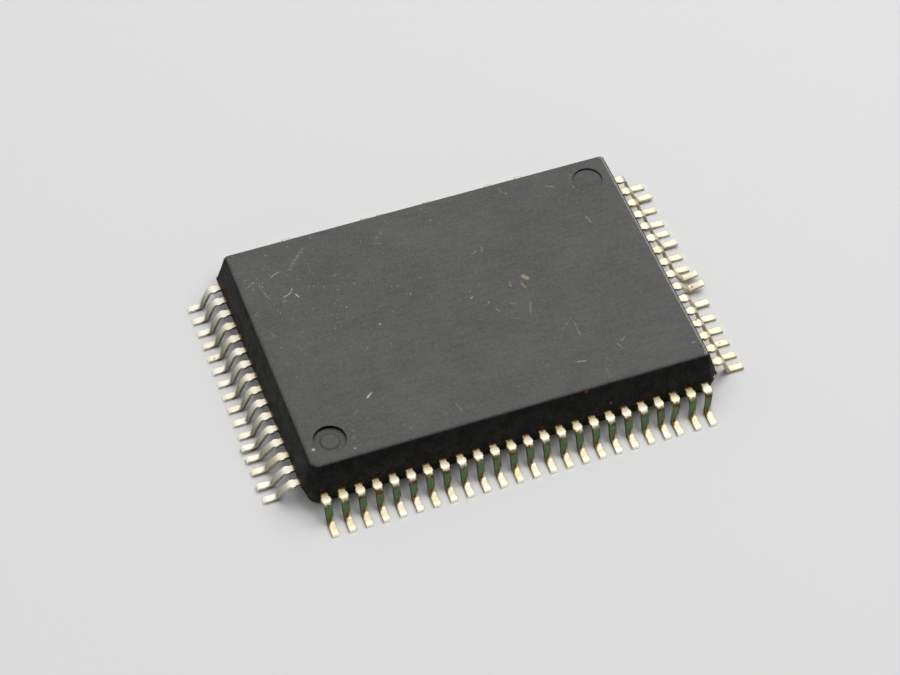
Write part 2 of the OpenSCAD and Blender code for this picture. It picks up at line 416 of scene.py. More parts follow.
DUST = scuffs(
    (0.13, 1.0, -5.97, -3.66, -5.73, -3.47), (0.13, 1.0, -4.05, 0.18),
    (0.09, 1.0, -7.12, 3.18, -7.05, 2.98), (0.10, 0.7, -2.13, 1.39),
    (0.06, 0.8, -7.18, 3.57, -7.32, 3.36, -7.51, 3.24, -7.71, 3.23),
    (0.06, 0.65, -7.42, 4.72, -7.70, 4.67, -7.89, 4.55), (0.06, 0.5, -8.73, 4.52, -9.14, 4.30),
    (0.10, 0.5, -8.55, 4.67), (0.08, 0.22, -8.57, 4.42, -8.52, 3.95, -8.43, 3.54, -8.30, 3.20),
    (0.34, 0.15, -6.96, 4.69, -6.36, 5.32, -5.95, 5.70), (0.13, 0.45, -5.43, 6.25),
    (0.15, 0.28, -5.29, 3.67, -4.89, 3.67), (0.11, 0.6, -6.63, 2.09), (0.10, 0.6, -5.58, 2.06),
    (0.11, 0.4, -5.17, 1.66), (0.14, 0.3, -3.68, 1.16), (0.08, 0.35, -7.82, 2.95, -7.63, 2.95),
    (0.11, 0.4, -9.26, 2.59), (0.11, 0.55, -6.04, 0.64), (0.18, 0.25, -8.87, 1.35, -8.83, 1.15),
    (0.15, 0.3, -7.74, -3.06), (0.15, 0.2, -2.62, 5.10, -2.15, 5.46),
    (0.10, 0.22, -2.66, 4.85, -2.33, 4.79), (0.09, 0.3, 0.10, 6.20, 0.24, 5.95),
    (0.15, 0.2, 0.24, 5.41, 0.40, 5.28), (0.12, 0.4, 1.96, 2.96, 1.92, 2.71),
    (0.10, 0.28, 1.42, 2.73, 1.65, 2.81), (0.10, 0.25, 4.07, 6.20, 4.08, 5.89),
    (0.12, 0.3, 4.21, 5.83, 4.30, 5.73), (0.12, 0.3, 6.25, 5.55, 6.60, 5.37), (0.12, 0.3, 5.14, 4.05),
    (0.18, 0.3, 7.34, 3.10, 7.47, 2.65), (0.09, 0.65, 0.50, 0.61), (0.08, 0.65, 0.43, 0.20, 0.53, 0.27),
    (0.08, 0.65, 1.10, -0.30), (0.08, 0.25, 3.71, -2.98, 4.40, -2.43, 4.41, -2.97, 4.40, -3.54),
    (0.08, 0.55, 3.69, -4.95, 4.08, -5.01), (0.08, 0.25, 5.04, -5.20, 5.22, -5.48),
    (0.08, 0.4, 5.81, -4.57, 5.96, -4.94), (0.08, 0.3, 5.69, -4.33, 5.88, -4.34),
    (0.08, 0.5, 6.07, -4.48, 6.29, -4.31), (0.08, 0.5, 9.03, -5.70, 9.20, -5.67), (0.12, 0.3, 7.85, -5.06),
    (0.14, 0.3, 3.88, -4.26), (0.14, 0.2, 2.35, -4.67), (0.10, 0.15, 4.78, -5.72, 4.79, -6.26),
    (0.26, 0.95, -9.19, -5.62, -9.17, -5.61), (0.24, 0.45, -7.43, -6.17),
)
CRUMBS = scuffs(
    (0.28, 1.0, 3.17, 0.68, 3.36, 0.44), (0.17, 0.6, 2.96, 0.25, 3.06, -0.01),
    (0.12, 0.5, 2.48, 0.56, 2.44, 0.25), (0.17, 0.3, 2.95, -0.93, 2.72, -1.55),
    (0.12, 0.4, 2.05, -0.70, 2.28, -0.80), (0.14, 0.4, 1.31, -0.76, 1.42, -0.99),
    (0.09, 0.3, 1.76, -1.52, 2.15, -1.66), (0.10, 0.55, 7.92, 6.12, 7.88, 6.14),
    (0.12, 0.7, 7.63, 5.85, 7.59, 5.83), (0.10, 0.6, 7.48, 5.64, 7.46, 5.60),
    (0.08, 0.7, 7.50, 5.42, 7.47, 5.41), (0.11, 0.7, 7.49, 5.10, 7.47, 5.04),
    (0.09, 0.55, 7.64, 4.79, 7.61, 4.77), (0.09, 0.45, 7.83, 4.60, 7.80, 4.62), (0.24, 0.3, -7.18, -5.20),
    (0.20, 0.25, -7.30, -5.57), (0.15, 0.22, -6.83, -4.31, -6.57, -4.19),
    (0.15, 0.25, -2.33, -5.33, -2.21, -5.76),
)


@dataclass(frozen=True)
class MouldFinish:
    """Filled epoxy: pale on top, where it is rubbed and painted as lit with a sheen, and dark on the walls,
    painted as in shade, with dust, scratches, crumbs and grain.
    """

    # top and wall are one epoxy: the pale top is partly rubbed and partly painted light and sheen, the dark
    # walls are painted shade
    top: Colour = (0.114, 0.112, 0.110)
    wall: Colour = (0.014, 0.0145, 0.014)
    dust: Colour = (0.62, 0.62, 0.60)
    ochre: Colour = (0.40, 0.36, 0.22)
    soil: Colour = (0.110, 0.075, 0.032)
    gilt: Colour = (0.26, 0.16, 0.05)
    # paler colour of the right top edge: wear and a painted highlight
    worn: Colour = (0.34, 0.34, 0.33)
    ring: Place = (-8.3, -5.3, 2.43)
    ring_radius: float = 0.44
    ring_width: Span = (0.02, 0.11)
    dust_middle: Place = (-6.6, 3.2, 2.60)
    dust_reach: Span = (1.5, 7.0)
    worn_highlight_x: Span = (9.25, 9.40)
    worn_highlight_z: Span = (2.54, 2.57)
    worn_highlight_tilt: tuple[Span, Span] = ((0.74, 0.88), (0.96, 0.999))
    wall_fade_z: Span = (1.5, 2.5)
    soil_z: Span = (1.10, 2.30)
    seam_z: tuple[Span, Span] = ((0.94, 1.02), (1.10, 1.28))
    spots: tuple[Spot, ...] = (Spot((3.48, -6.59, 2.48), 0.13, (0.16, 0.035, 0.040)),
                               Spot((4.61, -6.87, 1.49), 0.07, (0.20, 0.21, 0.19)))

    def make(self) -> Material:
        """Builds the material.

        Returns:
            The moulding's material.
        """
        bench = MaterialBench("moulding")
        point = bench.millimetres()
        x, _, z = bench.parts(point)
        facing_x, _, facing_z = bench.parts(bench.add("ShaderNodeTexCoord").outputs["Normal"])
        top_lit_and_rubbed = bench.stretch(bench.maths("ABSOLUTE", facing_z), 0.55, 0.97)

        # grey top, rubbed and painted as lit, with clouds, grain and streaks, over dark hazy walls painted as
        # in shade
        clouds = bench.noise(point, 0.35, 4.0, 0.6)
        grain = bench.noise(point, 7.0, 5.0, 0.75)
        streaks = bench.noise(bench.turned(point, -2.0, (1.1, 5.5, 1.0)), 1.0, 4.0, 0.65)
        shade = bench.chain("ADD", bench.stretch(clouds, 0.3, 0.7, 0.94, 1.06),
                            bench.stretch(grain, 0.3, 0.72, -0.14, 0.18),
                            bench.stretch(streaks, 0.35, 0.7, -0.055, 0.06))
        # walls: mottled haze, lighter lower down, and the walls turned to the left painted up to half again
        # lighter, as if more lit
        haze_and_side_light = bench.times(bench.stretch(bench.noise(point, 1.6, 5.0, 0.7), 0.36, 0.68, 0.55, 1.75),
                           bench.stretch(z, *self.wall_fade_z, 1.15, 0.75),
                           bench.stretch(facing_x, 0.0, -0.9, 1.0, 1.5))
        plain = bench.blend(top_lit_and_rubbed, bench.vector("MULTIPLY", self.wall, haze_and_side_light),
                            bench.vector("MULTIPLY", self.top, shade))

        # right top edge painted paler, as wear and as a painted highlight on its rounding, and a ring of
        # painted shade round the button of the first-lead mark
        rim = bench.times(bench.window(facing_z, *self.worn_highlight_tilt), bench.stretch(z, *self.worn_highlight_z),
                          bench.stretch(x, *self.worn_highlight_x), bench.stretch(grain, 0.35, 0.55, 0.3, 0.9))
        away = bench.maths("SUBTRACT", bench.vector("DISTANCE", point, self.ring), self.ring_radius)
        ring = bench.stretch(bench.maths("ABSOLUTE", away), *self.ring_width, 0.28, 0.0)

        # soil low on the walls, and gilt specks along the seam
        soiled = bench.times(bench.stretch(z, *self.soil_z[::-1]), bench.maths("SUBTRACT", 1.0, top_lit_and_rubbed),
                             bench.stretch(grain, 0.52, 0.68, 0.0, 0.75))
        seam = bench.times(bench.window(z, *self.seam_z), bench.specks(point, 3.1, 0.08, 0.45))

        # fine dust, thickest about one place, then the scuffs and the crumbs
        away = bench.vector("DISTANCE", point, self.dust_middle)
        dusty = bench.stretch(away, *self.dust_reach, 0.95, 0.25)
        layers = [bench.specks(point, 1.2, 0.055, 0.4)]
        layers += [bench.specks(bench.turned(point, degrees), per_mm, 0.034, 0.5)
                   for degrees, per_mm in ((31.0, 3.4), (67.0, 5.2))]
        dust = bench.times(bench.maths("POWER", bench.chain("MAXIMUM", *layers), 1.5), dusty)
        flecks = bench.noise(point, 8.0, 2.0, 0.6)
        tone = bench.attribute("dust_mark")
        cover = bench.stretch(bench.maths("MULTIPLY_ADD", tone, 0.30, flecks), 0.50, 0.66, 0.12, 1.0)
        dust = bench.maths("MAXIMUM", dust, bench.times(bench.maths("POWER", tone, 0.85), cover))
        dust = bench.times(dust, bench.stretch(top_lit_and_rubbed, 0.0, 1.0, 0.26, 1.0))
        crumbs = bench.times(bench.attribute("ochre_mark"), bench.stretch(flecks, 0.30, 0.52, 0.3, 1.0))
        colour = bench.coats(plain, (rim, self.worn), (ring, self.wall), (soiled, self.soil),
                             (seam, self.gilt), (dust, self.dust), (crumbs, self.ochre),
                             *(spot.coat(bench, point) for spot in self.spots))

        rough = bench.stretch(grain, 0.25, 0.8, 0.52, 0.70)
        height = bench.maths("MULTIPLY_ADD", bench.noise(point, 22.0, 2.0), 0.5, grain)
        normal = bench.relief(dust, 0.006, 0.5, bench.relief(height, 0.012, 0.6))
        return bench.dress(Base_Color=colour, Roughness=rough, Specular_IOR_Level=0.08, Normal=normal)


@dataclass(frozen=True)
class PlatingFinish:
    """Pale satin solder plating: olive legs and dark cut edges, painted as reflections of dark surroundings,
    brown heels and roots, and toes painted bright as a highlight.

    The spans are millimetres along a lead from the wall.
    """

    bright: Colour = (0.61, 0.588, 0.515)
    aged: Colour = (0.54, 0.485, 0.310)
    fringe: Colour = (0.40, 0.29, 0.10)
    # olive painted on the legs: the reflection of dark green surroundings
    leg: Colour = (0.115, 0.168, 0.092)
    # dark painted on the cut edges: the reflection of shaded surroundings
    cut: Colour = (0.050, 0.048, 0.030)
    brown: Colour = (0.100, 0.048, 0.011)
    # near white painted on the toe ends: a painted highlight where they lie in their own shade
    toe_highlight: Colour = (0.93, 0.90, 0.78)
    roots: Span = (0.01, 0.09)
    gilt_roots: Span = (0.08, 0.24)
    legs: Span = (0.50, 0.66)
    worn_legs: Span = (0.46, 1.30)
    feet: Span = (1.34, 1.50)
    necks: tuple[Span, Span] = ((0.50, 0.58), (0.64, 0.82))
    heels: tuple[Span, Span] = ((1.16, 1.32), (1.50, 1.62))
    spots: tuple[Spot, ...] = (Spot((11.26, -0.96, 0.32), 0.13, (0.40, 0.23, 0.08)),
                               Spot((11.44, -1.88, 0.15), 0.09, (0.38, 0.25, 0.10)),
                               Spot((11.20, -4.39, 0.15), 0.08, (0.36, 0.24, 0.10)),
                               Spot((10.33, -3.44, 1.12), 0.07, (0.10, 0.06, 0.03)),
                               Spot((-11.16, -1.42, 0.10), 0.20, (0.60, 0.58, 0.58)),
                               Spot((-11.34, -2.75, 0.10), 0.20, (0.60, 0.58, 0.58)))

    def make(self) -> Material:
        """Builds the material.

        Returns:
            The plating's material.
        """
        bench = MaterialBench("lead_plating")
        point = bench.millimetres()
        reach, near, edge, toe, worn, tint = (bench.attribute(label) for label in LEAD_MARKS)
        mottle = bench.noise(point, 2.4, 3.0)
        fine = bench.noise(point, 11.0, 4.0, 0.6)
        ragged = bench.maths("ADD", reach, bench.stretch(fine, 0.25, 0.8, -0.05, 0.05))
        slant = bench.maths("MULTIPLY_ADD", near, -0.30, ragged)

        # bright plating that ages to yellow, more so along both sides
        yellow = bench.times(bench.stretch(mottle, 0.25, 0.70, 0.35, 1.0), tint)
        sides = bench.times(bench.stretch(bench.maths("ABSOLUTE", near), 0.50, 0.98), tint, fine)

        # legs painted with the olive reflection of dark surroundings, at once, or slowly downwards where they
        # are worn, and gilt roots
        sudden, slow = (bench.stretch(ragged, *span) for span in (self.legs, self.worn_legs))
        onset = bench.maths("MULTIPLY_ADD", bench.stretch(worn, 0.0, 0.35),
                            bench.maths("SUBTRACT", slow, sudden), sudden)
        painted_leg_reflection = bench.times(onset, bench.stretch(slant, *self.feet[::-1]),
                             bench.maths("SUBTRACT", 1.0, worn))
        gilded = bench.times(bench.stretch(ragged, *self.gilt_roots[::-1]),
                             bench.maths("MULTIPLY_ADD", tint, 0.6, 0.2))

        # brown on the near side of the heels, under the first bend, at the wall, in blotches and in specks
        heel = bench.times(bench.window(slant, *self.heels),
                           bench.stretch(mottle, 0.30, 0.50, 0.80, 1.0),
                           bench.stretch(near, -0.75, 0.15, 0.15, 1.0))
        neck = bench.times(bench.window(ragged, *self.necks),
                           bench.stretch(mottle, 0.38, 0.56), bench.stretch(worn, 0.35, 0.10))
        joints = bench.times(bench.maths("MAXIMUM", heel, neck), bench.maths("MULTIPLY_ADD", worn, -0.8, 1.0))
        root = bench.stretch(ragged, *self.roots[::-1])
        blotch = bench.times(painted_leg_reflection, bench.stretch(bench.noise(point, 4.0, 3.0), 0.52, 0.68, 0.0, 0.4))
        brown_share = bench.chain("MAXIMUM", joints, root, blotch, bench.specks(point, 2.2, 0.06, 0.12))
        brown_share = bench.times(brown_share, 0.95)

        # cut edges, painted dark as the reflection of shaded surroundings, most on the legs, and yellow where
        # the plating has aged
        edge_shade_and_fringe = bench.coats(self.cut, (tint, self.fringe), (painted_leg_reflection, self.cut))
        edge = bench.times(edge, bench.stretch(painted_leg_reflection, 0.0, 0.6, 0.35, 0.95))
        # plating colour, with a painted highlight on the toe ends
        colour = bench.coats(self.bright, (yellow, self.aged), (sides, self.fringe), (painted_leg_reflection, self.leg),
                             (gilded, self.fringe), (brown_share, self.brown), (edge, edge_shade_and_fringe), (toe, self.toe_highlight),
                             *(spot.coat(bench, point) for spot in self.spots))

        rough = bench.maths("MULTIPLY_ADD", painted_leg_reflection, 0.06, bench.stretch(fine, 0.25, 0.8, 0.42, 0.56))
        normal = bench.relief(bench.maths("ADD", fine, mottle), 0.012, 0.5)
        return bench.dress(Base_Color=colour, Metallic=1.0, Roughness=rough, Normal=normal)


@dataclass(frozen=True)
class StockFinish:
    """Plain stock inside the moulding: two tones mixed by drawn-out noise, with a fine relief."""

    name: str
    light: Colour
    dark: Colour
    metallic: float
    rough: Span
    waves: float = 6.0
    drawn: Place = (1.0, 1.0, 1.0)
    spots: tuple[Spot, ...] = ()

    def make(self) -> Material:
        """Builds the material.

        Returns:
            The material of that stock.
        """
        bench = MaterialBench(self.name)
        place = bench.millimetres()
        point = bench.turned(place, 0.0, self.drawn)
        coarse, fine = bench.noise(point, self.waves, 3.0), bench.noise(point, 5 * self.waves, 2.0)
        colour = bench.coats(self.light, (bench.stretch(coarse, 0.3, 0.7), self.dark),
                             *(spot.coat(bench, place) for spot in self.spots))
        rough = bench.stretch(fine, 0.2, 0.8, *self.rough)
        return bench.dress(Base_Color=colour, Metallic=self.metallic, Roughness=rough,
                           Normal=bench.relief(fine, 0.004, 0.4))


@dataclass
class MouldBody:
    """The moulding: two tapered halves that meet at the parting plane, cut corners and round pin marks."""

    length: float = 20.0
    width: float = 14.0
    standoff: float = 0.1
    parting_z: float = 1.05
    top_z: float = 2.60
    draft: float = 16.0
    cut: float = 0.40
    cut_face: float = 0.10
    index_cut: float = 0.55
    index_cut_face: float = 0.28
    corner_round: float = 0.10
    index_round: float = 0.38
    top_round: float = 0.24
    low_round: float = 0.05
    flash: float = 0.02
    flash_steps: tuple[float, ...] = (-3.5, -2.0, -0.6, 0.6, 2.0, 3.5)
    mark: Span = (8.3, 5.3)
    index_mark: Span = (0.75, 0.19)
    button: Span = (0.425, 0.03)
    pin_mark: Span = (0.70, 0.10)
    button_soft: float = 0.04
    button_steps: int = 9
    mark_round: float = 0.02
    mark_sides: int = 64
    margin: float = 0.03
    scuffs: tuple[Scuff, ...] = DUST
    crumbs: tuple[Scuff, ...] = CRUMBS

    def profile(self) -> Array:
        """Section of the wall from the underside to the top.

        The wall leans in by the tangent of the draft times the height from the parting plane. Its two ends
        are rounded into the faces, and a thin lip of flash stands at the parting plane.

        Returns:
            Rows of inset from the parting outline and height.
        """
        lean = math.tan(math.radians(self.draft))
        low = np.array([(self.parting_z - self.standoff) * lean, self.standoff])
        high = np.array([(self.top_z - self.parting_z) * lean, self.top_z])
        seam = np.array([0.0, self.parting_z])
        inward = np.array([1.0, 0.0])
        foot = rounded(low + inward, low, seam, np.array(self.low_round), 5, self.margin)
        head = rounded(seam, high, high + inward, np.array(self.top_round), 6, self.margin)
        rise = np.array(self.flash_steps) * self.flash
        lip = np.stack([np.where(np.abs(rise) > self.flash, np.abs(rise) * lean, -self.flash),
                        self.parting_z + rise], -1)
        return np.concatenate([foot, lip, head])

    def outline(self, inset: Array, height: Array) -> Array:
        """Plan of the body at each height: a rectangle with four cut and rounded corners.

        Each cut goes evenly from its size at the parting plane to its size at the faces.

        Args:
            inset: distance in from the outline at the parting plane.
            height: height of each ring.

        Returns:
            Array of rings, points and x, y, z, anticlockwise from the front side's right end.
        """
        share = np.where(height > self.parting_z, (height - self.parting_z) / (self.top_z - self.parting_z),
                         (self.parting_z - height) / (self.parting_z - self.standoff))
        cut = self.cut + (self.cut_face - self.cut) * share
        first = self.index_cut + (self.index_cut_face - self.index_cut) * share
        x, y = self.length / 2 - inset, self.width / 2 - inset
        corners = np.stack([x - cut, -y, x, cut - y, x, y - cut, x - cut, y, cut - x, y, -x, y - cut,
                            -x, first - y, first - x, -y], -1).reshape(len(inset), -1, 2)
        radius = np.array([self.corner_round] * 6 + [self.index_round] * 2)
        plan = rounded(np.roll(corners, 1, 1), corners, np.roll(corners, -1, 1), radius, 6, self.margin)
        plan = plan.reshape(len(inset), -1, 2)
        level = np.broadcast_to(height[:, None, None], (*plan.shape[:2], 1))
        return np.concatenate([plan, level], -1)

    def pin_print(self, skin: Skin, centre: Span, face_z: float, size: Span, button: Span | None,
                  sunk: float) -> Array:
        """Turned surface of a round mark: a radius and a depth at each step, carried round its axis.

        The button's flank falls along a smooth step, t times t times three less two t.

        Args:
            skin: mesh under way.
            centre: place of the mark.
            face_z: height of the face that it is sunk in.
            size: radius and depth of the mark.
            button: radius and height of the button inside it, or None.
            sunk: -1 for a mark that goes down and 1 for one that goes up.

        Returns:
            Point numbers of the mark's rim.
        """
        r, d = size
        e = self.mark_round
        b, h = button or (0.0, 0.0)
        brim, heel, floor = np.array([r, 0.0]), np.array([r, d]), np.array([b, d])
        steps = np.concatenate([rounded(brim + (1.0, 0.0), brim, heel, np.array(e), 4, e),
                                rounded(brim, heel, floor, np.array(e), 4, e)])
        if button is not None:
            t = np.linspace(0, 1, self.button_steps)
            rise = np.stack([b + self.button_soft * (1 - 2 * t), d - h * t * t * (3 - 2 * t)], -1)
            steps = np.concatenate([steps, rise])
        turn = np.linspace(0, 2 * math.pi, self.mark_sides, endpoint=False)
        x = centre[0] + steps[:, :1] * np.cos(turn)
        y = centre[1] + steps[:, :1] * np.sin(turn)
        z = np.broadcast_to(face_z + sunk * steps[:, 1:], x.shape)
        rings = skin.add(np.stack([x, y, z], -1))
        hub = skin.add(np.array([[*centre, face_z + sunk * steps[-1, 1]]]))
        skin.wrap(rings if sunk < 0 else rings[::-1])
        skin.fan(rings[-1], int(hub[0]), sunk > 0)
        return rings[0]

    def strew(self, skin: Skin, rows: Sequence[Scuff]) -> tuple[list[Array], list[Array]]:
        """Lays scuffs into the top face, each as a flat band round a middle line.

        Args:
            skin: mesh under way.
            rows: the scuffs.

        Returns:
            Point numbers of the bands and of the middle lines.
        """
        plans = [[row.outline(), np.array(row.points)] for row in rows]
        laid = [[skin.add(np.column_stack([flat, np.full(len(flat), self.top_z)])) for flat in pair]
                for pair in plans]
        return [band for band, _ in laid], [line for _, line in laid]

    def build(self) -> Piece:
        """Joins the wall, both faces and the marks into one closed piece.

        Returns:
            The moulding.
        """
        skin = Skin()
        section = self.profile()
        rings = skin.add(self.outline(section[:, 0], section[:, 1]))
        skin.wrap(rings)
        x, y = self.mark
        top = [self.pin_print(skin, (x, y), self.top_z, self.pin_mark, None, -1.0),
               self.pin_print(skin, (-x, -y), self.top_z, self.index_mark, self.button, -1.0)]
        low = [self.pin_print(skin, (s * x, s * y), self.standoff, self.pin_mark, None, 1.0) for s in (1, -1)]
        bands, lines = self.strew(skin, self.scuffs)
        more_bands, more_lines = self.strew(skin, self.crumbs)
        skin.plate(rings[-1], top, False, bands + more_bands, lines + more_lines)
        skin.plate(rings[0], low, True)
        marks = {"dust_mark": np.zeros(skin.count), "ochre_mark": np.zeros(skin.count)}
        for mark, rows, found in zip(marks.values(), (self.scuffs, self.crumbs), (lines, more_lines)):
            sizes = [len(line) for line in found]
            mark[np.concatenate(found)] = np.repeat([row.tone for row in rows], sizes)
        return skin.piece("moulding", marks)

    def dress(self, piece: Piece, finish: MouldFinish) -> None:
        """Gives the moulding its finish and sets it in place of its CAD node."""
        piece.data.materials.append(finish.make())
        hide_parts("mould_body")
        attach(piece, BODY)


@dataclass(frozen=True)
class BentLead:
    """A lead found bent: its place in the bank, degrees that it is opened and sideways shift of its foot."""

    place: int
    opened: float
    lean: float


@dataclass(frozen=True)
class Strip:
    """Sizes that every lead shares."""

    width: float = 0.35
    thick: float = 0.15
    pitch: float = 0.8
    plane_z: float = 1.05
    root: float = 0.15
    root_margin: float = 0.02
    shoulder: float = 0.40
    bend: float = 0.22
    slope: float = 18.0
    tip: float = 0.18
    dam_width: float = 0.46
    dam_in: float = 0.22
    dam_run: float = 0.24
    dam_taper: float = 0.03
    corner: float = 0.024
    end_round: float = 0.06
    end_steps: Span = (0.3, 0.7)
    end_drawn: Span = (0.8, 0.25)

    @property
    def turn(self) -> float:
        """Angle of both bends."""
        return math.radians(90.0 - self.slope)

    @property
    def leg(self) -> float:
        """Length of the leg that brings the foot's underside to the ground."""
        drop = self.plane_z - self.thick / 2 - 2 * self.bend * (1 - math.cos(self.turn))
        return drop / math.sin(self.turn)

    @property
    def dam_stations(self) -> tuple[float, float, float, float]:
        """Distances from the wall where the stubs of the cut dam bar start, stand full, fall off and end."""
        start, end = self.dam_in, self.dam_in + self.dam_run
        return start, start + self.dam_taper, end - self.dam_taper, end

    def section(self) -> tuple[Array, Array, Array]:
        """Rounded rectangle as a multiple of the half width and half thickness.

        Each corner is an arc about a centre that lies one radius in from both sides.

        Returns:
            Across, through and a mask that is 1 on the two cut edges.
        """
        w, t = self.width / 2, self.thick / 2
        box = np.array([[-w, -t], [w, -t], [w, t], [-w, t]])
        before, after = np.roll(box, 1, 0), np.roll(box, -1, 0)
        ring = rounded(before, box, after, np.array(self.corner), 3, self.corner / 2).reshape(-1, 2)
        edge = (np.abs(ring[:, 0]) > w - 0.5 * self.corner).astype(float)
        return ring[:, 0] / w, ring[:, 1] / t, edge


@dataclass
class LeadBank:
    """A row of gull-wing leads from their inner tips to their toes."""

    side: Side
    count: int
    wall: float
    depth: float
    tip_step: float
    foot: float
    bent: tuple[BentLead, ...]
    yellowed: float = 0.85
    # wear, which also withholds the painted dark reflection from the legs and so paints them lighter
    worn: float = 0.0
    # more of that for leaning leads, painted lighter as if more lit
    scraped: float = 0.0
    # share of the painted dark reflection on the cut edges
    tarnished: float = 1.0
    strip: Strip = field(default_factory=Strip)
    bend_steps: int = 8
    leg_steps: int = 4
    foot_steps: int = 3
    tint_spread: float = 0.25
    full_lean: float = 0.25

    def bends(self) -> tuple[Array, Array]:
        """Opening in radians and lean of every lead in the bank."""
        opened, lean = np.zeros(self.count), np.zeros(self.count)
        places = [row.place for row in self.bent]
        opened[places] = np.radians([row.opened for row in self.bent])
        lean[places] = [row.lean for row in self.bent]
        return opened, lean

    def path(self, opened: Array) -> tuple[Array, Array, Array, Array]:
        """Centre line of each lead in its own upright plane, as the running sum of its chords.

        A straight run adds its length along its heading. A bend adds chords of twice the radius times the
        sine of half a step, each along the heading halfway through that step.

        Args:
            opened: radians by which each wing is opened at its first bend.

        Returns:
            Distance out from the wall, height, heading and how far each ring is drawn in to round the ends.
        """
        s, n = self.strip, self.count
        ends = s.end_round * np.array(s.end_steps)
        level = np.array([s.end_round - self.depth, -0.5 * self.depth, -s.root - s.root_margin, -s.root,
                          *s.dam_stations[:2], s.shoulder])
        runs = np.concatenate([ends, np.diff(level)])
        leg = np.full(self.leg_steps, s.leg / self.leg_steps)
        sole = np.diff(np.linspace(0, self.foot - s.end_round, self.foot_steps + 1))
        foot = np.concatenate([sole, ends[::-1]])
        share = np.linspace(0, 1, self.bend_steps + 1)
        down, up = (s.turn - opened)[:, None] * share, s.turn * share
        fall = -down[:, -1:]
        heading = np.concatenate([np.zeros((n, len(runs) + 1)), -down[:, 1:], np.repeat(fall, len(leg), 1),
                                  fall + up[1:], np.repeat(opened[:, None], len(foot), 1)], 1)
        middle = (heading[:, 1:] + heading[:, :-1]) / 2
        arcs = [2 * s.bend * np.sin(np.diff(bend) / 2) for bend in (down, up)]
        chord = np.concatenate([np.broadcast_to(run, (n, run.shape[-1]))
                                for run in (runs, arcs[0], leg, arcs[1], foot)], 1)
        out = running(chord * np.cos(middle)) - self.depth
        rise = running(chord * np.sin(middle))
        drawn = np.zeros(out.shape[1])
        drawn[[0, 1, -1, -2]] = s.end_round * np.array(s.end_drawn * 2)
        return out, rise, heading, drawn

    def rings(self) -> tuple[Array, dict[str, Array]]:
        """Sweeps the section along the centre lines of the whole bank at once.

        Each point is the centre line plus its share through the thickness along the path's normal, and its
        share across the width sideways. The finger narrows and steps aside evenly towards its tip, and a
        leaning foot moves aside evenly down its leg. At both ends the section is drawn in and let down, so
        that the strip rolls over to its lower face, as metal does where it is cut by shearing.

        Returns:
            Points by lead, ring, section point and x, y, z, and the values that the finish reads.
        """
        s = self.strip
        opened, lean = self.bends()
        out, rise, heading, drawn = self.path(opened)
        across, through, edge = s.section()
        inner = np.clip((-out - s.root) / (self.depth - s.root), 0, 1)
        half = np.interp(out, [-self.depth, -s.root, *s.dam_stations],
                         np.array([s.tip, s.width, s.width, s.dam_width, s.dam_width, s.width]) / 2) - drawn
        row = np.arange(self.count) - (self.count - 1) / 2
        aside = (row * (self.tip_step - s.pitch))[:, None] * inner
        lift = through * (s.thick / 2 - drawn)[:, None] - drawn[:, None]
        x = out[..., None] - lift * np.sin(heading)[..., None]
        z = rise[..., None] + lift * np.cos(heading)[..., None]
        leg_x = s.shoulder + s.bend * np.sin(s.turn - opened)
        heel_x = leg_x + s.leg * np.cos(s.turn - opened)
        ramp = np.clip((x - leg_x[:, None, None]) / (heel_x - leg_x)[:, None, None], 0, 1)
        y = (row * s.pitch)[:, None, None] + aside[..., None] + half[..., None] * across
        y = y + lean[:, None, None] * ramp
        local = np.stack([x + self.wall, y, z + s.plane_z], -1)
        far = running(np.hypot(np.diff(out), np.diff(rise))) - self.depth
        chance = np.random.default_rng(int(self.side.value) + 360)
        yellow = self.yellowed + chance.uniform(-self.tint_spread, self.tint_spread, self.count)
        worn = self.worn + self.scraped * np.clip(np.abs(lean) / self.full_lean, 0, 1)
        towards = -1.0 if self.side in (Side.FRONT, Side.RIGHT) else 1.0
        # toe marks the end rings, which get a painted highlight
        toe = np.zeros((out.shape[1], 1))
        toe[-len(s.end_steps):] = 1.0
        # cut_edge holds each bank's share of the painted dark reflection on the cut edges
        values = (far[..., None], across * towards, edge * self.tarnished * (1 - toe), toe,
                  worn[:, None, None], np.clip(yellow, 0, 1)[:, None, None])
        marks = {label: np.broadcast_to(value, local.shape[:-1]) for label, value in zip(LEAD_MARKS, values)}
        return local @ self.side.turned.T, marks

    def build(self) -> Piece:
        """Skins every lead, closes both of its ends and gathers the bank.

        Returns:
            The bank's piece.
        """
        points, marks = self.rings()
        skin = Skin()
        numbers = skin.add(points)
        for lead in numbers:
            skin.wrap(lead[:, ::-1])
            skin.cap(lead[0], False)
            skin.cap(lead[-1], True)
        return skin.piece("plated_" + self.side.node, marks)

    def dress(self, piece: Piece, plating: Material) -> None:
        """Gives the bank its plating and sets it in place of its CAD node."""
        piece.data.materials.append(plating)
        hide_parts(self.side.node)
        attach(piece, BODY)


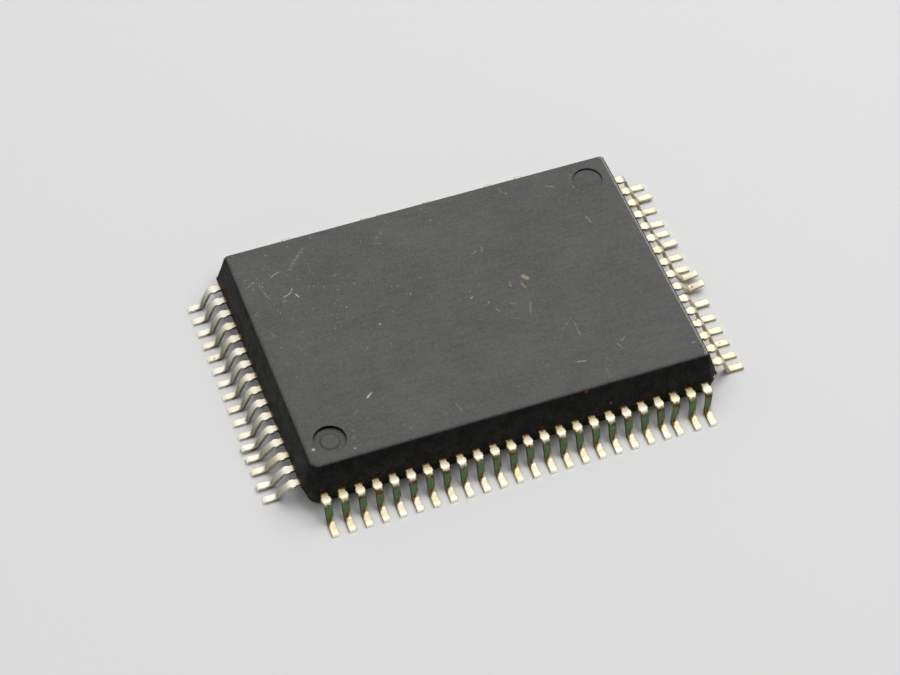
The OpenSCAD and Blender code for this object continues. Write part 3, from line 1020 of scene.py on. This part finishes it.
@dataclass
class SealedPieces:
    """What the moulding seals in: the CAD nodes are right as they are and get their finishes here."""

    finishes: dict[str, StockFinish] = field(default_factory=lambda: {
        "die_pad": StockFinish("bare_alloy", (0.42, 0.30, 0.18), (0.26, 0.18, 0.10), 1.0, (0.40, 0.55), 3.0,
                               (0.3, 2.0, 1.0), (Spot((-9.8, -6.8, 1.05), 0.6, (0.05, 0.04, 0.03)),
                                                 Spot((-9.8, 6.8, 1.05), 0.6, (0.05, 0.04, 0.03)))),
        "die_attach": StockFinish("silver_epoxy", (0.64, 0.64, 0.61), (0.46, 0.46, 0.44), 0.3,
                                  (0.5, 0.7), 9.0),
        "silicon_die": StockFinish("silicon", (0.30, 0.33, 0.40), (0.17, 0.20, 0.27), 0.6,
                                   (0.10, 0.24), 2.0),
        "wires": StockFinish("gold_wire", (0.95, 0.76, 0.30), (0.86, 0.64, 0.20), 1.0, (0.16, 0.30), 8.0),
    })

    def dress(self, nodes: dict[str, Piece]) -> None:
        """Puts each finish on its CAD nodes.

        Args:
            nodes: the frame's nodes by name.
        """
        for start, finish in self.finishes.items():
            stock = finish.make()
            for name, node in nodes.items():
                if name.startswith(start):
                    node.data.materials.clear()
                    node.data.materials.append(stock)
                    LOG.info("dressed %s as %s", name, finish.name)


@dataclass(frozen=True)
class Lamp:
    """A square soft lamp that looks at the part: its place and side in metres and its power in watts."""

    name: str
    place: Place
    size: float
    power: float

    def hang(self) -> None:
        """Adds the lamp to the scene."""
        data = bpy.data.lights.new(self.name, "AREA")
        data.size, data.energy = self.size, self.power
        made = bpy.data.objects.new(self.name, data)
        made.location = self.place
        made.rotation_mode = "QUATERNION"
        made.rotation_quaternion = (-Vector(self.place)).to_track_quat("-Z", "Y")
        bpy.context.scene.collection.objects.link(made)


@dataclass
class Stage:
    """Pale floor, soft lamps and the camera, none of which belong to the part."""

    focal: float = 109.93
    azimuth: float = -20.611
    elevation: float = 51.077
    roll: float = 0.673
    offset: Place = (0.614, 0.085, 129.125)
    sensor: float = 36.0
    clip: float = 0.01
    pale: float = 0.80
    bounce: float = 0.22
    ambient: float = 0.20
    floor_z: float = -0.002
    floor_radii: tuple[float, ...] = (900.0, 300.0, 100.0, 30.0)
    floor_sides: int = 96
    melts: Span = (30.0, 75.0)
    lamps: tuple[Lamp, ...] = (Lamp("key", (0.14, 0.06, 0.30), 0.27, 0.74),
                               Lamp("fill", (-0.12, 0.11, 0.38), 0.60, 0.72))

    def floor(self) -> Piece:
        """Round pale floor, as radius times the cosine and sine of a turn, that melts into the backdrop and
        is clear from below.

        Returns:
            The floor.
        """
        skin = Skin()
        turn = np.linspace(0, 2 * math.pi, self.floor_sides, endpoint=False)
        x, y = (np.outer(self.floor_radii, wave(turn)) for wave in (np.cos, np.sin))
        rings = skin.add(np.stack([x, y, np.full_like(x, self.floor_z)], -1))
        skin.wrap(rings)
        skin.cap(rings[-1], False)
        made = skin.piece("floor")
        bench = MaterialBench("pale_floor")
        seen = bench.shown()
        tone = bench.maths("MULTIPLY_ADD", seen, self.pale - self.bounce, self.bounce)
        near = bench.add("ShaderNodeBsdfDiffuse", {"Color": tone}).outputs[0]
        far = bench.add("ShaderNodeEmission", {"Strength": bench.times(seen, self.pale)}).outputs[0]
        away = bench.stretch(bench.vector("LENGTH", bench.millimetres()), *self.melts)
        below = bench.add("ShaderNodeNewGeometry").outputs["Backfacing"]
        clear = bench.add("ShaderNodeBsdfTransparent").outputs[0]
        join = bench.mingle(away, near, far)
        bench.feed(bench.out.inputs["Surface"], bench.mingle(below, join, clear))
        bench.tree.nodes.remove(bench.shader)
        made.data.materials.append(bench.material)
        return made

    def world(self) -> None:
        """Pale backdrop to the eye and in metal, and a low even light on the part."""
        made = bpy.data.worlds.new("studio")
        made.use_nodes = True
        bench = NodeBench(made.node_tree)
        glow = bench.tree.nodes["Background"].inputs
        bench.feed(glow["Color"], (1.0, 1.0, 1.0))
        light = bench.maths("MULTIPLY_ADD", bench.shown(), self.pale - self.ambient, self.ambient)
        bench.feed(glow["Strength"], light)
        bpy.context.scene.world = made

    def camera(self) -> None:
        """Camera at the photograph's place: its axes from azimuth, elevation and roll, and its place from
        where the part's origin lies to the right of it, below it and in front of it."""
        a, e, r = (math.radians(v) for v in (self.azimuth, self.elevation, self.roll))
        back = Vector((math.sin(a) * math.cos(e), -math.cos(a) * math.cos(e), math.sin(e)))
        right = Vector((0.0, 0.0, 1.0)).cross(back).normalized()
        up = back.cross(right)
        right, up = (math.cos(r) * right + math.sin(r) * up, math.cos(r) * up - math.sin(r) * right)
        place = -(self.offset[0] * right - self.offset[1] * up - self.offset[2] * back) * MM
        data = bpy.data.cameras.new("camera")
        data.lens, data.sensor_width, data.clip_start = self.focal, self.sensor, self.clip
        made = bpy.data.objects.new("camera", data)
        made.matrix_world = Matrix.Translation(place) @ Matrix((right, up, back)).transposed().to_4x4()
        bpy.context.scene.collection.objects.link(made)
        bpy.context.scene.camera = made

    def build(self) -> None:
        """Sets the floor, the lamps, the world and the camera."""
        self.floor()
        for lamp in self.lamps:
            lamp.hang()
        self.world()
        self.camera()
        bpy.context.scene.view_settings.view_transform = "Standard"


def lead_banks() -> list[LeadBank]:
    """The four banks with their own counts, depths, feet and bent leads.

    The inner tips of a bank are spread evenly along the die pad, a little in from its corners.

    Returns:
        The banks in the order front, rear, left, right.
    """
    long_count, short_count = 24, 16
    pad_length, pad_width, tip_in = 9.0, 6.4, 0.3
    long_step = (pad_length - 2 * tip_in) / (long_count - 1)
    short_step = (pad_width - 2 * tip_in) / (short_count - 1)

    def long_bank(side: Side, foot: float, *bent: tuple[int, float, float]) -> LeadBank:
        """A bank on a long side, with its bent leads as plain rows."""
        return LeadBank(side, long_count, 7.0, 3.5, long_step, foot, tuple(BentLead(*row) for row in bent))

    def short_bank(side: Side, foot: float, *bent: tuple[int, float, float], **finish: object) -> LeadBank:
        """A bank on a short side, with its bent leads as plain rows and its own wear."""
        leads = tuple(BentLead(*row) for row in bent)
        return LeadBank(side, short_count, 10.0, 5.2, short_step, foot, leads, **finish)

    return [
        long_bank(Side.FRONT, 0.65, (21, 0, -0.18), (22, 0, -0.09), (23, 0, -0.14)),
        long_bank(Side.REAR, 0.50, (4, 6, 0), (6, 5, 0), (10, 5, 0), (13, 4, 0), (14, 5, 0), (19, 6, 0),
                  (23, 0, -0.24)),
        short_bank(Side.LEFT, 0.52, (11, 6, -0.03), (12, 4, -0.19), (13, 3, -0.25), (14, 5, -0.17),
                   (15, 1, -0.24), yellowed=0.12, worn=0.36, scraped=0.30, tarnished=0.3,
                   strip=Strip(slope=24.0, bend=0.25)),
        short_bank(Side.RIGHT, 0.66, (0, 2, 0.05), (5, 4, 0.1), (6, 16, 0.25), (7, 14, 0.15), (10, 6, 0.03),
                   (12, 0, -0.12), (14, 6, 0), yellowed=0.6, worn=0.85, tarnished=0.15),
    ]


def main() -> None:
    """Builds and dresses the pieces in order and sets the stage."""
    logging.basicConfig(level=logging.INFO, format="%(name)s: %(message)s")
    mould = MouldBody()
    mould.dress(mould.build(), MouldFinish())
    plating = PlatingFinish().make()
    for bank in lead_banks():
        bank.dress(bank.build(), plating)
    SealedPieces().dress(frame["nodes"])
    Stage().build()


if __name__ == "__main__":
    main()
